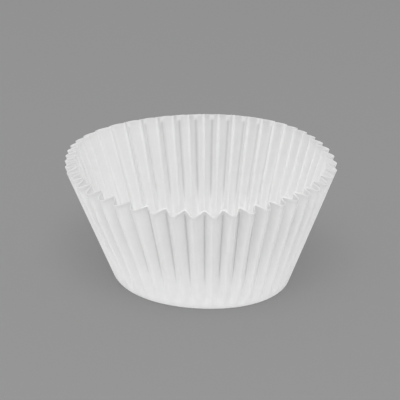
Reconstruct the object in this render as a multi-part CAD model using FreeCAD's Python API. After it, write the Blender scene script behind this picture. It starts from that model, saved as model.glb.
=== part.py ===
"""A fluted cupcake liner, pressed from one round blank of white baking paper.

The middle of the blank stays flat as the base.  The ring around it is turned up into the wall, where the
paper has more length than the smaller circle needs, so it gathers into flutes.  Each flute is an outward
crest and an inward valley joined by flat panels, and it fades out at the base.

The paper folds but doesn't stretch, and that gives the shape.  Circles drawn on the blank, the rings, keep
their length, which sets how deep the flutes are at each ring.  Lines drawn outward on it, the creases, keep
theirs too, so the valleys, which lean out less than the crests, end a little higher at the rim.

The cup stands on Z = 0 with its axis on Z, and one crest lies on +X.  Sizes are in millimetres.
"""

import FreeCAD
import Part

import math
import os

# The blank, and the die that it is pressed in
BLANK_DIAMETER = 119.0  # the flat paper disc
BASE_DIAMETER = 50.0  # to the corner where base and wall would meet with no bend
RIM_DIAMETER = 74.0  # across the crests at the rim
PAPER_THICKNESS = 0.10
FLUTE_COUNT = 48
CREST_RADIUS = 0.80  # of the outward creases, on the outside
VALLEY_RADIUS = 0.35  # of the inward creases, on the outside
BEND_RADIUS = 1.20  # from the base to the wall, on the outside

# How far along the wall each fluted ring lies, as a share of the wall's paper; the last is the rim
RINGS = (0.10, 0.36, 1.0)
BEND_FACETS = 2

SEW_TOLERANCE = 0.0001
SOLVER_STEPS = 60

AXIS = FreeCAD.Vector(0, 0, 1)

base_radius = BASE_DIAMETER / 2
rim_radius = RIM_DIAMETER / 2
wall_length = BLANK_DIAMETER / 2 - base_radius
half_pitch = math.pi / FLUTE_COUNT  # the angle from a crest to the next valley


def polar(radius, angle, height=0.0):
    return FreeCAD.Vector(radius * math.cos(angle), radius * math.sin(angle), height)


def radius_of(point):
    return math.hypot(point.x, point.y)


def angle_of(point):
    return math.atan2(point.y, point.x)


def mirrored(point, angle):
    """The point on the other side of the upright plane through the axis at that angle."""
    return polar(radius_of(point), 2 * angle - angle_of(point), point.z)


def half_flute(crest_reach, valley_reach):
    """The plan of a ring from a crest, on +X, to the next valley, with the paper's length to each point.

    Both creases are arcs, and the panel is the straight line that touches both.  The crest is drawn as four
    chords and the valley as two, and both have a point at the tip.
    """
    crest_centre = polar(crest_reach - CREST_RADIUS, 0)
    valley_centre = polar(valley_reach + VALLEY_RADIUS, half_pitch)
    between = valley_centre - crest_centre
    lean = angle_of(between) - math.acos((CREST_RADIUS + VALLEY_RADIUS) / between.Length)
    points = [
        polar(crest_reach, 0),
        crest_centre + polar(CREST_RADIUS, lean / 2),
        crest_centre + polar(CREST_RADIUS, lean),
        valley_centre - polar(VALLEY_RADIUS, lean),
        polar(valley_reach, half_pitch),
    ]
    lengths = [0]
    for start, end in zip(points, points[1:]):
        lengths.append(lengths[-1] + end.distanceToPoint(start))
    return points, lengths


def fluted_ring(distance):
    """The half flute on the ring of paper that far from the base corner, deep enough to use all of it."""
    crest_reach = base_radius + distance * (rim_radius - base_radius) / wall_length
    paper = (base_radius + distance) * half_pitch
    deep = crest_reach - paper
    shallow = crest_reach
    for _ in range(SOLVER_STEPS):
        valley_reach = (deep + shallow) / 2
        if half_flute(crest_reach, valley_reach)[1][-1] > paper:
            deep = valley_reach
        else:
            shallow = valley_reach
    return half_flute(crest_reach, valley_reach)


def raised(point, low, length):
    """The plan point, lifted so far above the lower point that the paper between the two has that length."""
    reach = math.hypot(point.x - low.x, point.y - low.y)
    return FreeCAD.Vector(point.x, point.y, low.z + math.sqrt(length**2 - reach**2))


def bend_profile(rim):
    """The bend's points as radius and height, from the base to the wall.

    It touches the flat base and, at its upper end, a wall that leans half way between crests and valleys.
    """
    reaches = [radius_of(point) - base_radius for point in (rim[0], rim[-1])]
    lean = math.asin(sum(reaches) / 2 / wall_length)
    turn = math.pi / 2 - lean
    tangent = BEND_RADIUS * math.tan(turn / 2)
    profile = []
    for step in range(BEND_FACETS + 1):
        angle = turn * step / BEND_FACETS
        radius = base_radius - tangent + BEND_RADIUS * math.sin(angle)
        profile.append((radius, BEND_RADIUS * (1 - math.cos(angle))))
    return profile, tangent


def half_wall():
    """The half flute's creases from the flat base to the rim: for each ring, its points."""
    distances = [share * wall_length for share in RINGS]
    plans = [fluted_ring(distance) for distance in distances]
    profile, tangent = bend_profile(plans[-1][0])
    first_lengths = plans[0][1]
    angles = [length / first_lengths[-1] * half_pitch for length in first_lengths]
    rings = [[polar(radius, angle, height) for angle in angles] for radius, height in profile]
    below = tangent
    for (plan, _), distance in zip(plans, distances):
        rings.append([raised(point, low, distance - below) for point, low in zip(plan, rings[-1])])
        below = distance
    return rings


def full_ring(half):
    """The ring's points all the way round, from those of one half flute."""
    flute = half + [mirrored(point, half_pitch) for point in half[-2:0:-1]]
    ring = []
    for number in range(FLUTE_COUNT):
        turn = FreeCAD.Rotation(AXIS, number * 360 / FLUTE_COUNT)
        ring += [turn.multVec(point) for point in flute]
    return ring


def facing(along, upward):
    return along.cross(upward).normalize()


def inset(point, first_normal, second_normal):
    """The point moved in by the paper's thickness, where two faces of those outward normals meet."""
    share = PAPER_THICKNESS / (1 + first_normal.dot(second_normal))
    return point - (first_normal + second_normal) * share


def inner_bend(ring, below, above):
    """The inside of a ring of the bend: the miter between the paper below it and the paper above it."""
    moved = []
    for point, low, high in zip(ring, below, above):
        around = AXIS.cross(point)
        moved.append(inset(point, facing(around, point - low), facing(around, high - point)))
    return moved


def inner_wall(ring, below):
    """The inside of a fluted ring: at each crease, the miter between the panels on its two sides."""
    moved = []
    for place, (point, low) in enumerate(zip(ring, below)):
        before = ring[place - 1]
        after = ring[(place + 1) % len(ring)]
        upward = point - low
        moved.append(inset(point, facing(point - before, upward), facing(after - point, upward)))
    return moved


def inner_rings(outside):
    """The inside of the paper for all rings; the base's paper comes to the first of them from the axis."""
    bend_count = BEND_FACETS + 1
    centre = [FreeCAD.Vector(0, 0, 0)] * len(outside[0])
    inside = []
    for number, ring in enumerate(outside):
        below = outside[number - 1] if number else centre
        if number < bend_count:
            inside.append(inner_bend(ring, below, outside[number + 1]))
        else:
            inside.append(inner_wall(ring, below))
    return inside


def flat_face(*points):
    return Part.Face(Part.makePolygon([*points, points[0]]))


def quads(low_ring, high_ring):
    """The corners between neighbouring points of two rings, all the way round."""
    for place, (low, high) in enumerate(zip(low_ring, high_ring)):
        following = (place + 1) % len(low_ring)
        yield low, low_ring[following], high_ring[following], high


def bend_faces(low_ring, high_ring):
    return [flat_face(*corners) for corners in quads(low_ring, high_ring)]


def wall_faces(low_ring, high_ring):
    """Two flat facets in each gap between creases, because a flute deepens as it rises."""
    faces = []
    for low, low_next, high_next, high in quads(low_ring, high_ring):
        faces += [flat_face(low, low_next, high), flat_face(low_next, high_next, high)]
    return faces


def skin(rings):
    """One side of the paper: the flat base, the bend, and the fluted wall up to the rim."""
    faces = [flat_face(*rings[0])]
    for number, (low_ring, high_ring) in enumerate(zip(rings, rings[1:])):
        strip = bend_faces if number < BEND_FACETS else wall_faces
        faces += strip(low_ring, high_ring)
    return faces


def make_liner():
    outside = [full_ring(half) for half in half_wall()]
    inside = inner_rings(outside)
    cut_edge = wall_faces(outside[-1], inside[-1])
    shell = Part.makeShell(skin(outside) + skin(inside) + cut_edge)
    shell.sewShape(SEW_TOLERANCE)
    liner = Part.makeSolid(shell)
    if liner.Volume < 0:
        liner.reverse()
    return liner


os.makedirs("parts", exist_ok=True)
liner = make_liner()
liner.exportStep("parts/liner.step")
box = liner.BoundBox
print("liner", "valid" if liner.isValid() else "not valid", len(liner.Faces), "faces", len(liner.Solids), "solid")
print(f"size {box.XLength:.2f} x {box.YLength:.2f} x {box.ZLength:.2f} mm, {liner.Volume:.1f} mm3")
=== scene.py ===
"""The looks of a white paper cupcake liner: its folded sheet, its paper finish, and a plain studio."""

import math

import bpy
import numpy as np
from mathutils import Euler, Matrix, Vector


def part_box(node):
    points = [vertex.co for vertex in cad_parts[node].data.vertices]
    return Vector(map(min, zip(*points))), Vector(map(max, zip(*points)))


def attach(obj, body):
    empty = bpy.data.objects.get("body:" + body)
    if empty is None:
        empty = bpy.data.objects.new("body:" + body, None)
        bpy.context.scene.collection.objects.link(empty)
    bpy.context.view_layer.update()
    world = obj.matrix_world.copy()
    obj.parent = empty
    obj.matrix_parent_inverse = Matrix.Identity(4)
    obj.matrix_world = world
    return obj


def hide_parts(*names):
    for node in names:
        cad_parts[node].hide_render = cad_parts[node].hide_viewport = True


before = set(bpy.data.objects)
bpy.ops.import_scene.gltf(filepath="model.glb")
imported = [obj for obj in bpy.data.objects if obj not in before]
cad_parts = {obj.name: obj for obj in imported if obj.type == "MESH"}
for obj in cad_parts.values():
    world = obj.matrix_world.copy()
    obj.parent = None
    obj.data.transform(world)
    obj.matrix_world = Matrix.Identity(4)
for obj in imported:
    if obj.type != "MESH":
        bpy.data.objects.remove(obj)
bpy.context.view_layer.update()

MM = 0.001

# The liner's sheet, with the solid's blank, base and rim, and a tighter bend between base and wall
RIM_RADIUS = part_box("liner")[1].x  # to the crests
BASE_RADIUS = 25.0 * MM  # to the corner where base and wall would meet with no bend
BLANK_RADIUS = 59.5 * MM
PAPER = 0.10 * MM
FLUTES = 48
BEND_RADIUS = 0.65 * MM
WALL = BLANK_RADIUS - BASE_RADIUS  # the wall's paper, from that corner to the rim
MIDDLE_INWARD = 1.4 * MM  # at the rim, the middle of the folds lies this far inside the crests

# Folds: radii at the foot and at the rim, on the outside
CREST_RADII = 0.85 * MM, 1.05 * MM
VALLEY_RADII = 0.45 * MM, 0.48 * MM
FADE = 0.4 * MM, 3.6 * MM  # the flutes grow between these distances from the base corner
SHARING_POWER = 0.7  # the lower, the sooner above the foot narrow flutes hold as much paper as wide ones

# The photograph's liner isn't quite even.  Angles here are in degrees round it, from the side that faces the
# camera towards the camera's right.  A swell is given as its waves round the cup, its height and one peak.
RIM_ASIDE = -0.8 * MM  # the rim's centre, to the right of the axis
BASE_ASIDE = 0.95 * MM
BASE_FORWARD = 0.3 * MM  # the base's centre, towards the camera
BASE_SWELLS = (2, 0.30 * MM, 45), (4, 0.25 * MM, 45)
RIM_SWELLS = (2, 0.27 * MM, -73), (3, 0.48 * MM, -7), (4, 0.54 * MM, -33), (5, 0.46 * MM, 15)
CUT_SWELLS = (1, 0.50 * MM, 148), (2, 0.52 * MM, -53)  # of the wall's paper, by the blank's uneven cut
PULL = 0.30 * MM  # how much lower than evenly folded paper the crests stand at the back
DRIFT_SWELLS = (1, 0.025, -58), (2, 0.049, 13), (3, 0.053, -33)  # of the flutes' pitch, as shares of it

# How far single folds stray from all that, at the rim
SEED = 8
STRAY_ANGLE = 0.045  # of a flute's pitch
STRAY_REACH = 0.08 * MM
STRAY_GAIN = 1.6  # makes up for what the easing towards the neighbours takes away
WARP = 0.015 * MM  # the height of each of these waves, square to the paper
WARP_WAVES = (3, 1.3), (7, 2.1), (17, 3.0), (31, 4.7), (53, 2.6)  # round the cup, and half waves up the wall

# The paper's greys, in pairs of a place and a grey: by its cloudy formation; painted shade across a fold,
# from ridge at 0 to hollow crease at 1; and painted shade and light along the wall, from the cut edge at 0 to
# the base at 1
TONE_SHADES = (0.30, 0.93), (0.70, 0.96)
PAINTED_FOLD_SHADES = (0.0, 0.93), (0.26, 0.99), (0.66, 1.0), (0.82, 0.86), (1.0, 0.56)
PAINTED_WALL_SHADES = (0.0, 0.74), (0.05, 0.87), (0.12, 0.915), (0.50, 0.935), (0.75, 0.975), (0.95, 1.0)
INSIDE_LEVEL = 0.5  # the inside gets no painted pale foot: below this place it keeps one grey
TIP_LEVEL = 1.0  # painted highlight: at the front of the rim the tips of the valleys are as pale as the paper at this place
TIP_SIDE = 15  # degrees: the middle of that painted highlight round the rim
TIP_ROUND = 0.70, 0.90  # round the rim, the painted paler cut comes in between these cosines of the angle from there
TIP_ACROSS = 0.4, 1.0  # and across the fold between these places, with the crest at 0 and the valley at 1
RIM_FADE = 0.2 * MM, 1.8 * MM  # over these distances from the cut, the painted crease shade comes in
FOOT_FADE = 0.4 * MM, 15.0 * MM  # and over these distances from the base corner
SIDE_FADE = 0.7  # how much fainter the painted crease shade is at the cup's left and right
THROUGH_SHARE = 0.33  # the part of the paper's shader that lets light through
FIBRE_SHARE = 0.35  # what the fibres add to the paper's relief, beside 1 for its clouds

# The mesh: samples over half a flute, and rows of the sheet
CREST_STEPS = 4
PANEL_STEPS = 4
VALLEY_STEPS = 4
WALL_ROWS = 25
ROW_POWER = 1.25  # above 1, the wall's rows stand closer at the foot
CUT_ROW = 0.4 * MM  # the last row but one is this far from the cut
BEND_ROWS = 4
BASE_ROWS = 3
HALVINGS = 40

# The photograph's view: the camera looks down on the rim's centre, which is a little above the frame's middle
FRAME_PIXELS = 400
VIEW_DISTANCE = 375 * MM
VIEW_ELEVATION = math.radians(21.8)
VIEW_TURN = math.radians(-5.15)  # puts the flutes where the photograph has them
VIEW_ROLL = math.radians(2.0)
FOCAL_PIXELS = 1381.6
RIM_CENTRE_PIXEL = 201.48, 161.20
RIM_CENTRE_HEIGHT = 32.0 * MM
SENSOR = 36.0

# The studio, with greys in linear values
BACKGROUND = 0.296  # behind the floor
FLOOR_HALF = 3.0  # from the axis to the floor's sides
FLOOR_COLOUR = 0.72
FLOOR_LIT = 0.14  # the share of the camera's floor that takes light and shadow; the rest is an even glow
FLOOR_GLOW = 0.188
DOME_STRENGTH = 0.92
LAMP_AIM = 0.02  # the height on the axis that the lamps point at
LAMPS = (  # name, place, size and watts
    ("left", (-0.74, -0.34, 0.40), 0.6, 0.80),
    ("top", (-0.06, -0.36, 0.82), 0.5, 4.2),
)


def from_front(angle):
    """An angle about the axis, counted from the side that faces the camera."""
    return angle + math.pi / 2 - VIEW_TURN


def swell(angle, waves, peak):
    """A cosine with so many waves round the cup, and one of its peaks at that many degrees from the front."""
    return np.cos(waves * (from_front(angle) - math.radians(peak)))


def swollen(size, swells, angle):
    """The size with its swells at that angle."""
    return size + sum(height * swell(angle, waves, peak) for waves, height, peak in swells)


def smooth_step(value, low, high):
    """0 below low, 1 above high, and 3t^2 - 2t^3 between."""
    t = np.clip((value - low) / (high - low), 0, 1)
    return t * t * (3 - 2 * t)


def stray(rng, size):
    """One number for each crest or valley, even chances up to size each way, eased towards its neighbours."""
    raw = rng.uniform(-size, size, FLUTES)
    return (np.roll(raw, 1) + 2 * raw + np.roll(raw, -1)) / 4 * STRAY_GAIN


def half_folds(crest_reach, crest_angle, valley_reach, valley_angle, radii, side):
    """From each crest to the valley beside it, as complex plan points by row, flute and sample.

    The crest is an arc about a centre C inside it, the valley an arc about a centre V outside it, and the
    panel is the straight line that touches both.  The line's normal n is the direction from C to V turned by
    the arc cosine of (both radii) / |V - C|.  side is 1 for the valley at a larger angle, -1 for the other.
    """
    crest_radius, valley_radius = radii
    crest_way = np.exp(1j * crest_angle)
    valley_way = np.exp(1j * valley_angle)
    centre = (crest_reach - crest_radius) * crest_way
    across = (valley_reach + valley_radius) * valley_way - centre
    span = np.abs(across)
    lean = np.arccos(np.minimum((crest_radius + valley_radius) / span, 1))
    normal = across / span * np.exp(-1j * side * lean)
    crest_turn = np.angle(normal / crest_way)
    valley_turn = np.angle(valley_way / normal)
    panel_start = centre + crest_radius * normal
    panel_end = centre + across - valley_radius * normal
    crest_part = np.arange(CREST_STEPS) / CREST_STEPS
    panel_part = np.arange(PANEL_STEPS) / PANEL_STEPS
    valley_part = np.arange(VALLEY_STEPS + 1) / VALLEY_STEPS
    crest_arms = (crest_radius * crest_way)[..., None] * np.exp(1j * crest_turn[..., None] * crest_part)
    crest = centre[..., None] + crest_arms
    panel = panel_start[..., None] + (panel_end - panel_start)[..., None] * panel_part
    valley_arms = (valley_radius * normal)[..., None] * np.exp(1j * valley_turn[..., None] * valley_part)
    valley = (centre + across)[..., None] - valley_arms
    return np.concatenate([crest, panel, valley], axis=2)


def even_depth(distance, foot_reach, reach, half_pitch, radii):
    """How deep the flutes are, by row and flute.

    A ring of the blank keeps its length, so half a flute holds p = h (r + d) of paper, where r is the foot's
    radius and d the distance from it.  h goes from half the flute's own pitch at the foot to an even share,
    pi / flutes, at the rim.  The depth whose fold is p long is found by halving.
    """
    share = (distance / WALL)[:, None] ** SHARING_POWER
    held = half_pitch + (math.pi / FLUTES - half_pitch) * share
    paper = held * (foot_reach + distance[:, None])
    shallow = np.zeros_like(reach)
    deep = shallow + paper
    for _ in range(HALVINGS):
        depth = (shallow + deep) / 2
        fold = half_folds(reach, 0, reach - depth, half_pitch, radii, 1)
        too_long = np.abs(np.diff(fold, axis=2)).sum(axis=2) > paper
        deep = np.where(too_long, depth, deep)
        shallow = np.where(too_long, shallow, depth)
    return depth


def drifted(angle):
    """The angle moved by the integral of the drift's swells, so that the flutes' pitch has those swells."""
    moved = angle.copy()
    for waves, share, peak in DRIFT_SWELLS:
        moved += share / waves * swell(angle, waves, peak + 90 / waves)
    return moved


def fold_lines(rng, distance, radii):
    """Where each crest and each valley runs: its reach from the axis and its angle, by row and flute.

    A crest's reach grows evenly from the base corner to the rim, and a valley's is less by the flutes' depth.
    Both stray a little, in step with the distance from the base.
    """
    pitch = 2 * math.pi / FLUTES
    share = (distance / WALL)[:, None]
    numbers = np.arange(FLUTES)
    crest_angle = drifted((numbers + stray(rng, STRAY_ANGLE) * share) * pitch)
    valley_angle = drifted((numbers + 0.5 + stray(rng, STRAY_ANGLE) * share) * pitch)
    half_pitch = valley_angle - crest_angle
    rim_reach = swollen(RIM_RADIUS, RIM_SWELLS, crest_angle) + stray(rng, STRAY_REACH)
    foot_reach = swollen(BASE_RADIUS, BASE_SWELLS, crest_angle)
    crest_reach = foot_reach + (rim_reach - foot_reach) * share
    between = (crest_reach + np.roll(crest_reach, -1, axis=1)) / 2
    depth = even_depth(distance, foot_reach, between, half_pitch, radii)
    return crest_reach, crest_angle, between - depth, valley_angle


def wall_plan(rng, distance):
    """The wall seen from above, as complex points by row and column, all the way round from a crest.

    At the foot the wall is still round.  Each point moves from its place on that circle, at its share of the
    flute's paper, to its place on the fold, as the flutes fade in.
    """
    share = (distance / WALL)[:, None]
    radii = [foot + (rim - foot) * share for foot, rim in (CREST_RADII, VALLEY_RADII)]
    crest_reach, crest_angle, valley_reach, valley_angle = fold_lines(rng, distance, radii)
    onward = half_folds(crest_reach, crest_angle, valley_reach, valley_angle, radii, 1)
    next_crest = np.roll(crest_reach, -1, axis=1)
    next_angle = np.roll(crest_angle, -1, axis=1)
    back = half_folds(next_crest, next_angle, valley_reach, valley_angle, radii, -1)
    flute = np.concatenate([onward[..., :-1], back[..., ::-1]], axis=2)
    along = np.cumsum(np.abs(np.diff(flute, axis=2, prepend=flute[..., :1])), axis=2)
    part = along / along[..., -1:]
    turn = (next_angle - crest_angle) % (2 * math.pi)
    round_reach = crest_reach[..., None] + (next_crest - crest_reach)[..., None] * part
    round_foot = round_reach * np.exp(1j * (crest_angle[..., None] + turn[..., None] * part))
    folded = smooth_step(distance, *FADE)[:, None, None]
    plan = round_foot + (flute - round_foot) * folded
    return plan[..., :-1].reshape(len(distance), -1)


def cut_share(angle):
    """The wall's paper as a share of the even wall's: the blank was cut a little oval and off centre."""
    return 1 + swollen(0, CUT_SWELLS, angle) / WALL


def across_fold():
    """For each column round the cup, its place in the fold: 0 at a crest, 1 at a valley, evenly by sample."""
    half = CREST_STEPS + PANEL_STEPS + VALLEY_STEPS
    return 1 - np.abs(np.arange(2 * half * FLUTES) % (2 * half) - half) / half


def lift(plan, start_height, steps):
    """Heights of the wall's rows: each step up keeps its length of paper and rises sqrt(step^2 - move^2)."""
    move = np.abs(np.diff(plan, axis=0))
    rise = np.sqrt(np.maximum(steps**2 - move**2, 0))
    first = np.full((1, plan.shape[1]), start_height)
    return np.concatenate([first, start_height + np.cumsum(rise, axis=0)])


def bend_rows(foot, turn):
    """The base's flat edge and the bend up to the foot of the wall, a circular arc of the bend's radius."""
    angle = (np.arange(BEND_ROWS) / BEND_ROWS * turn)[:, None]
    end = np.abs(foot)
    radius = end - BEND_RADIUS * (math.sin(turn) - np.sin(angle))
    height = np.broadcast_to(BEND_RADIUS * (1 - np.cos(angle)), radius.shape)
    return radius * foot / end, height


def base_rows(flat_edge):
    """Rings of the flat base, at even shares of its radius; the centre point is left to the mesh."""
    share = (np.arange(1, BASE_ROWS + 1) / (BASE_ROWS + 1))[:, None]
    return flat_edge * share, np.zeros((BASE_ROWS, flat_edge.size))


def warp(rng, plan, share):
    """How far the paper strays square to itself: a few slow waves round the cup and up the wall."""
    angle = np.angle(plan)
    height = np.linspace(0, 1, plan.shape[0])[:, None]
    total = np.zeros(plan.shape)
    for waves, rises in WARP_WAVES:
        start, slope = rng.uniform(0, 2 * math.pi, 2)
        total += np.sin(waves * angle + rises * math.pi * height + start) * np.cos(rises * height * 2 + slope)
    return total * share


def grid_normals(points):
    """Outward normals of a grid that closes round its columns, from differences between neighbours."""
    round_way = np.roll(points, -1, axis=1) - np.roll(points, 1, axis=1)
    up_way = np.gradient(points, axis=0)
    normal = np.cross(round_way, up_way)
    return normal / np.linalg.norm(normal, axis=2, keepdims=True)


def liner_sheet():
    """The outside of the sheet as a grid of points, rows from the base's middle to the rim, and its paper
    distance from the base corner by row."""
    rng = np.random.default_rng(SEED)
    lean = math.asin((RIM_RADIUS - BASE_RADIUS - MIDDLE_INWARD) / WALL)
    turn = math.pi / 2 - lean
    tangent = BEND_RADIUS * math.tan(turn / 2)
    distance = tangent + (WALL - tangent) * np.linspace(0, 1, WALL_ROWS - 1) ** ROW_POWER
    distance = np.insert(distance, -1, WALL - CUT_ROW)
    plan = wall_plan(rng, distance)
    bend_plan, bend_height = bend_rows(plan[0], turn)
    base_plan, base_height = base_rows(bend_plan[0])
    along = np.concatenate([np.zeros(BASE_ROWS + BEND_ROWS), distance])
    share = (along / WALL)[:, None]
    rightward = np.exp(1j * VIEW_TURN)
    forward = -1j * rightward
    all_plan = np.concatenate([base_plan, bend_plan, plan])
    all_plan += (BASE_ASIDE + (RIM_ASIDE - BASE_ASIDE) * share) * rightward
    all_plan += BASE_FORWARD * (1 - share) * forward
    steps = np.diff(distance)[:, None] * cut_share(np.angle(plan[-1]))
    height = lift(all_plan[-WALL_ROWS:], BEND_RADIUS * (1 - math.cos(turn)), steps)
    all_height = np.concatenate([base_height, bend_height, height])
    all_height -= PULL * share * (1 - across_fold()) * (1 - swell(np.angle(all_plan), 1, 0)) / 2
    points = np.stack([all_plan.real, all_plan.imag, all_height], axis=2)
    points += grid_normals(points) * (warp(rng, all_plan, share) * WARP)[..., None]
    return points, along


def wall_places(rim_angle, along):
    """The paper's place along the wall by row and column, 0 at the cut and 1 at the base, outside and inside.

    For the painted shade and light, the cut of the front tips has the place TIP_LEVEL, a painted highlight,
    and the inside has none above INSIDE_LEVEL.
    """
    outside = np.repeat(1 - along[:, None] / WALL, rim_angle.size, axis=1)
    at_front = smooth_step(swell(rim_angle, 1, TIP_SIDE), *TIP_ROUND)
    # painted highlight: the cut of the valleys' tips at the front of the rim gets a pale place
    outside[-1] = TIP_LEVEL * smooth_step(across_fold(), *TIP_ACROSS) * at_front
    inside = np.minimum(outside, INSIDE_LEVEL)
    inside[-1] = outside[-1]
    return outside, inside


def hollowness(angle, along):
    """The place in the fold as the outside sees it, from -0.5 on a crest to 0.5 in a valley's crease.

    It sets the painted crease shade, and eases to 0 at the cut and at the foot, and is fainter at the cup's
    left and right.
    """
    # the strength of the painted crease shade, by place on the wall and round the cup
    crease_shade_strength = (smooth_step(along, *FOOT_FADE) * smooth_step(WALL - along, *RIM_FADE))[:, None]
    crease_shade_strength = crease_shade_strength * (1 - SIDE_FADE * (1 - swell(angle, 2, 0)) / 2)
    return (across_fold() - 0.5) * crease_shade_strength


def add_numbers(mesh, name, outside, inside, poles):
    """Gives each point a number: the outside's rows, then the inside's from the rim down, then the poles."""
    numbers = np.append(np.concatenate([outside, inside[::-1]]), poles)
    mesh.attributes.new(name, "FLOAT", "POINT").data.foreach_set("value", numbers.astype(np.float32))


def sheet_mesh(name, points, along):
    """A closed mesh of two skins, the paper's thickness apart, with a cut edge at the rim and closed poles.

    Rows run from the outside's pole up to the rim and down the inside to the other pole.  Two numbers go with
    each point, for the painted shade and light: the paper's place along the wall, and its place in the fold
    as its own side sees it, from 0 on a ridge to 1 in a hollow crease.
    """
    inner = points - grid_normals(points) * PAPER
    rings = np.concatenate([points, inner[::-1]])
    rows, columns = rings.shape[:2]
    poles = np.array([[0, 0, 0], [0, 0, PAPER]])
    place = np.arange(rows * columns).reshape(rows, columns)
    beside = np.roll(place, -1, axis=1)
    quads = np.stack([place[:-1], beside[:-1], beside[1:], place[1:]], axis=2).reshape(-1, 4)
    first_pole = np.full(columns, rows * columns)  # the poles' points come after those of the rings
    fans = [
        np.stack([first_pole, beside[0], place[0]], axis=1),
        np.stack([first_pole + 1, place[-1], beside[-1]], axis=1),
    ]
    mesh = bpy.data.meshes.new(name)
    vertices = np.concatenate([rings.reshape(-1, 3), poles])
    mesh.from_pydata(vertices.tolist(), [], quads.tolist() + np.concatenate(fans).tolist())
    angle = np.arctan2(points[..., 1], points[..., 0])
    add_numbers(mesh, "from_cut", *wall_places(angle[-1], along), [1, INSIDE_LEVEL])
    hollow = hollowness(angle, along)
    add_numbers(mesh, "hollow", 0.5 + hollow, 0.5 - hollow, [0.5, 0.5])
    mesh.shade_smooth()
    return mesh


def paper_grain():
    """A node group for paper made on a press: its cloudy formation, its fibres, and the height of both."""
    group = bpy.data.node_groups.new("paper_grain", "ShaderNodeTree")
    for name, value in (("Cloud scale", 500.0), ("Fibre scale", 3200.0)):
        group.interface.new_socket(name, in_out="INPUT", socket_type="NodeSocketFloat").default_value = value
    for name in ("Formation", "Height"):
        group.interface.new_socket(name, in_out="OUTPUT", socket_type="NodeSocketFloat")
    nodes, links = group.nodes, group.links
    scales = nodes.new("NodeGroupInput")
    results = nodes.new("NodeGroupOutput")
    place = nodes.new("ShaderNodeTexCoord")
    cloud = nodes.new("ShaderNodeTexNoise")
    cloud.inputs["Detail"].default_value = 4.0
    cloud.inputs["Roughness"].default_value = 0.62
    fibre = nodes.new("ShaderNodeTexNoise")
    fibre.inputs["Detail"].default_value = 3.0
    fibre.inputs["Distortion"].default_value = 0.8
    for texture, scale in ((cloud, "Cloud scale"), (fibre, "Fibre scale")):
        links.new(place.outputs["Object"], texture.inputs["Vector"])
        links.new(scales.outputs[scale], texture.inputs["Scale"])
    both = nodes.new("ShaderNodeMath")
    both.operation = "MULTIPLY_ADD"
    both.inputs[1].default_value = FIBRE_SHARE
    links.new(fibre.outputs["Fac"], both.inputs[0])
    links.new(cloud.outputs["Fac"], both.inputs[2])
    links.new(cloud.outputs["Fac"], results.inputs["Formation"])
    links.new(both.outputs["Value"], results.inputs["Height"])
    return group


def grey_ramp(nodes, shades):
    """A colour ramp of those pairs of a place and a grey; it starts with two elements."""
    ramp = nodes.new("ShaderNodeValToRGB")
    elements = ramp.color_ramp.elements
    for place, _ in shades[2:]:
        elements.new(place)
    for element, (place, grey) in zip(elements, shades):
        element.position = place
        element.color = (grey, grey, grey, 1)
    return ramp


def shaded(nodes, links, colour, attribute, shades):
    """The colour times the grey that those shades have at the mesh's attribute."""
    place = nodes.new("ShaderNodeAttribute")
    place.attribute_name = attribute
    ramp = grey_ramp(nodes, shades)
    links.new(place.outputs["Fac"], ramp.inputs["Fac"])
    product = nodes.new("ShaderNodeMix")
    product.data_type = "RGBA"
    product.blend_type = "MULTIPLY"
    product.inputs["Factor"].default_value = 1.0
    links.new(colour, product.inputs["A"])
    links.new(ramp.outputs["Color"], product.inputs["B"])
    return product.outputs["Result"]


def white_paper(grain):
    """White baking paper: matte, a little uneven, and letting some light through.

    It is painted greyer, as shade, in the hollow creases, a little on the ridges and towards the cut, and
    painted paler, as light, at the foot of the wall and in the base, with painted highlights on the tips at
    the front of the rim.
    """
    material = bpy.data.materials.new("white_baking_paper")
    material.use_nodes = True
    nodes, links = material.node_tree.nodes, material.node_tree.links
    nodes.clear()
    output = nodes.new("ShaderNodeOutputMaterial")
    mix = nodes.new("ShaderNodeMixShader")
    mix.inputs["Fac"].default_value = THROUGH_SHARE
    surface = nodes.new("ShaderNodeBsdfPrincipled")
    surface.inputs["Specular IOR Level"].default_value = 0.30
    surface.inputs["Sheen Weight"].default_value = 0.06
    surface.inputs["Sheen Roughness"].default_value = 0.45
    through = nodes.new("ShaderNodeBsdfTranslucent")
    through.inputs["Color"].default_value = (0.88, 0.88, 0.88, 1)
    pattern = nodes.new("ShaderNodeGroup")
    pattern.node_tree = grain

    tone = grey_ramp(nodes, TONE_SHADES)
    links.new(pattern.outputs["Formation"], tone.inputs["Fac"])
    colour = tone.outputs["Color"]
    # painted shade in the creases, a little on the ridges and towards the cut; painted light at the foot and
    # on the front tips
    for attribute, shades in (("hollow", PAINTED_FOLD_SHADES), ("from_cut", PAINTED_WALL_SHADES)):
        colour = shaded(nodes, links, colour, attribute, shades)
    links.new(colour, surface.inputs["Base Color"])

    gloss = nodes.new("ShaderNodeMapRange")
    gloss.inputs["To Min"].default_value = 0.66
    gloss.inputs["To Max"].default_value = 0.78
    links.new(pattern.outputs["Formation"], gloss.inputs["Value"])
    links.new(gloss.outputs["Result"], surface.inputs["Roughness"])

    bump = nodes.new("ShaderNodeBump")
    bump.inputs["Strength"].default_value = 0.35
    bump.inputs["Distance"].default_value = 0.03 * MM
    links.new(pattern.outputs["Height"], bump.inputs["Height"])
    links.new(bump.outputs["Normal"], surface.inputs["Normal"])
    links.new(bump.outputs["Normal"], through.inputs["Normal"])

    links.new(surface.outputs["BSDF"], mix.inputs[1])
    links.new(through.outputs["BSDF"], mix.inputs[2])
    links.new(mix.outputs["Shader"], output.inputs["Surface"])
    return material


def make_liner():
    points, along = liner_sheet()
    mesh = sheet_mesh("paper_liner", points, along)
    mesh.materials.append(white_paper(paper_grain()))
    liner = bpy.data.objects.new("paper_liner", mesh)
    bpy.context.scene.collection.objects.link(liner)
    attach(liner, "root")
    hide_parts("liner")


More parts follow.
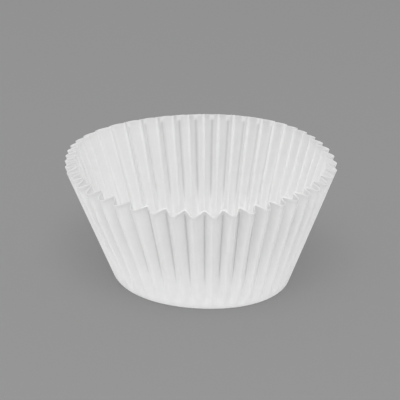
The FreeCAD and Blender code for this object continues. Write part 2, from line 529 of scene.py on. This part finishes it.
def seen_directly(nodes, links):
    """1 on rays from the camera, in mirrors and through glass, and 0 on light that a matte surface scatters,
    which includes what passes through paper."""
    path = nodes.new("ShaderNodeLightPath")
    total = path.outputs["Is Camera Ray"]
    others = ("ADD", "Is Glossy Ray"), ("ADD", "Is Transmission Ray"), ("SUBTRACT", "Is Diffuse Ray")
    for operation, ray in others:
        step = nodes.new("ShaderNodeMath")
        step.operation = operation
        step.use_clamp = True
        links.new(total, step.inputs[0])
        links.new(path.outputs[ray], step.inputs[1])
        total = step.outputs["Value"]
    return total


def grey_floor():
    """A flat grey floor.  What the camera sees of it is mostly an even grey; the rest takes the shadow."""
    mesh = bpy.data.meshes.new("floor")
    corners = [(x * FLOOR_HALF, y * FLOOR_HALF, 0) for x, y in ((-1, -1), (1, -1), (1, 1), (-1, 1))]
    mesh.from_pydata(corners, [], [(0, 1, 2, 3)])
    material = bpy.data.materials.new("grey_floor")
    material.use_nodes = True
    nodes, links = material.node_tree.nodes, material.node_tree.links
    nodes.clear()
    output = nodes.new("ShaderNodeOutputMaterial")
    glow = nodes.new("ShaderNodeEmission")
    glow.inputs["Color"].default_value = (FLOOR_GLOW, FLOOR_GLOW, FLOOR_GLOW, 1)
    glow.inputs["Strength"].default_value = 1.0
    lit = nodes.new("ShaderNodeBsdfDiffuse")
    lit.inputs["Color"].default_value = (FLOOR_COLOUR, FLOOR_COLOUR, FLOOR_COLOUR, 1)
    share = nodes.new("ShaderNodeMath")
    share.operation = "MULTIPLY"
    share.inputs[1].default_value = 1 - FLOOR_LIT
    links.new(seen_directly(nodes, links), share.inputs[0])
    mix = nodes.new("ShaderNodeMixShader")
    links.new(share.outputs["Value"], mix.inputs["Fac"])
    links.new(lit.outputs["BSDF"], mix.inputs[1])
    links.new(glow.outputs["Emission"], mix.inputs[2])
    links.new(mix.outputs["Shader"], output.inputs["Surface"])
    mesh.materials.append(material)
    floor = bpy.data.objects.new("floor", mesh)
    bpy.context.scene.collection.objects.link(floor)


def soft_world():
    """Even light from all round, behind which the camera sees the same grey as the floor."""
    world = bpy.data.worlds.new("studio")
    bpy.context.scene.world = world
    world.use_nodes = True
    nodes, links = world.node_tree.nodes, world.node_tree.links
    nodes.clear()
    output = nodes.new("ShaderNodeOutputWorld")
    light = nodes.new("ShaderNodeBackground")
    light.inputs["Color"].default_value = (1, 1, 1, 1)
    light.inputs["Strength"].default_value = DOME_STRENGTH
    backdrop = nodes.new("ShaderNodeBackground")
    backdrop.inputs["Color"].default_value = (BACKGROUND, BACKGROUND, BACKGROUND, 1)
    mix = nodes.new("ShaderNodeMixShader")
    links.new(seen_directly(nodes, links), mix.inputs["Fac"])
    links.new(light.outputs["Background"], mix.inputs[1])
    links.new(backdrop.outputs["Background"], mix.inputs[2])
    links.new(mix.outputs["Shader"], output.inputs["Surface"])


def soft_lamp(name, place, size, watts):
    """A square soft light that faces the liner."""
    lamp = bpy.data.lights.new(name, "AREA")
    lamp.shape = "SQUARE"
    lamp.size = size
    lamp.energy = watts
    holder = bpy.data.objects.new(name, lamp)
    holder.location = place
    holder.rotation_euler = (Vector((0, 0, LAMP_AIM)) - Vector(place)).to_track_quat("-Z", "Y").to_euler()
    bpy.context.scene.collection.objects.link(holder)


def aim_camera():
    """The camera stands back from the rim's centre at the view's elevation, and is then turned down and
    aside, by the angles that put the rim's centre on its pixel."""
    rim_centre = Vector((0, 0, RIM_CENTRE_HEIGHT))
    aside = math.atan((RIM_CENTRE_PIXEL[0] - FRAME_PIXELS / 2) / FOCAL_PIXELS)
    down = math.atan((FRAME_PIXELS / 2 - RIM_CENTRE_PIXEL[1]) / FOCAL_PIXELS)
    upright = Euler((math.pi / 2 - VIEW_ELEVATION, 0, VIEW_TURN)).to_quaternion()
    rolled = Euler((0, 0, VIEW_ROLL)).to_quaternion()
    turned = Euler((-down, aside, 0)).to_quaternion()
    camera = bpy.data.cameras.new("camera")
    camera.sensor_fit = "HORIZONTAL"
    camera.sensor_width = SENSOR
    camera.lens = FOCAL_PIXELS / FRAME_PIXELS * SENSOR
    camera.clip_start = 0.01
    holder = bpy.data.objects.new("camera", camera)
    holder.location = rim_centre + upright @ Vector((0, 0, VIEW_DISTANCE))
    holder.rotation_euler = (upright @ rolled @ turned).to_euler()
    bpy.context.scene.collection.objects.link(holder)
    bpy.context.scene.camera = holder


aim_camera()
make_liner()
grey_floor()
soft_world()
for lamp in LAMPS:
    soft_lamp(*lamp)
bpy.context.scene.view_settings.view_transform = "Standard"
